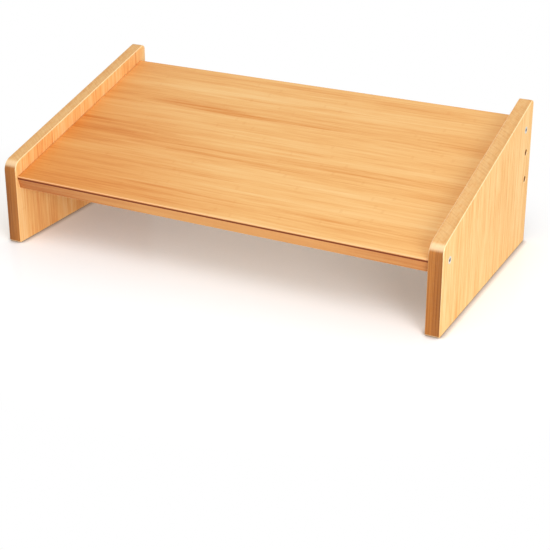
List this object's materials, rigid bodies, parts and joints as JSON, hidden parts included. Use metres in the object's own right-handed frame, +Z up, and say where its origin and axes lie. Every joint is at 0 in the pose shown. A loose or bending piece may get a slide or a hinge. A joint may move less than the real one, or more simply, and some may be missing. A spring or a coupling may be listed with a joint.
{
  "type": "monitor riser stand",
  "caption": "Wooden desk riser with two sloping side panels and a wide shelf that tilts on front screws and is fixed by rear screws in a row of holes.",
  "frame": {"origin": "on the surface that the riser stands on, in the middle of its width and depth", "axes": "+Z up, +Y towards the tall rear side, +X towards the right-hand panel seen from the front"},
  "size_m": [0.5, 0.26, 0.1615],
  "materials": {
    "side_panel_bamboo": "satin clear lacquer on upright bamboo grain",
    "shelf_bamboo": "satin clear lacquer on bamboo strips that run across the width",
    "screw_steel": "bright zinc plate",
    "insert_brass": "plain turned"
  },
  "bodies": {
    "frame": {"left_panel_outer_ply": "side_panel_bamboo", "left_panel_core": "side_panel_bamboo", "left_panel_inner_ply": "side_panel_bamboo", "right_panel_outer_ply": "side_panel_bamboo", "right_panel_core": "side_panel_bamboo", "right_panel_inner_ply": "side_panel_bamboo"},
    "shelf": {"shelf_top_ply": "shelf_bamboo", "shelf_core": "shelf_bamboo", "shelf_bottom_ply": "shelf_bamboo", "front_insert_left": "insert_brass", "front_insert_right": "insert_brass", "rear_insert_left": "insert_brass", "rear_insert_right": "insert_brass", "front_pivot_screw_left": "screw_steel", "front_pivot_screw_right": "screw_steel"},
    "rear_screw_left": {"rear_fixing_screw_left": "screw_steel"},
    "rear_screw_right": {"rear_fixing_screw_right": "screw_steel"}
  },
  "joints": [
    {"name": "shelf_tilt", "type": "hinge", "parent": "frame", "child": "shelf", "pos_m": [0, -0.11172, 0.07289], "axis": [1, 0, 0], "range_deg": [-14.6, 0]},
    {"name": "left_screw_draw", "type": "slide", "parent": "frame", "child": "rear_screw_left", "axis": [-1, 0, 0], "range_m": [0, 0.022]},
    {"name": "right_screw_draw", "type": "slide", "parent": "frame", "child": "rear_screw_right", "axis": [1, 0, 0], "range_m": [0, 0.022]}
  ]
}
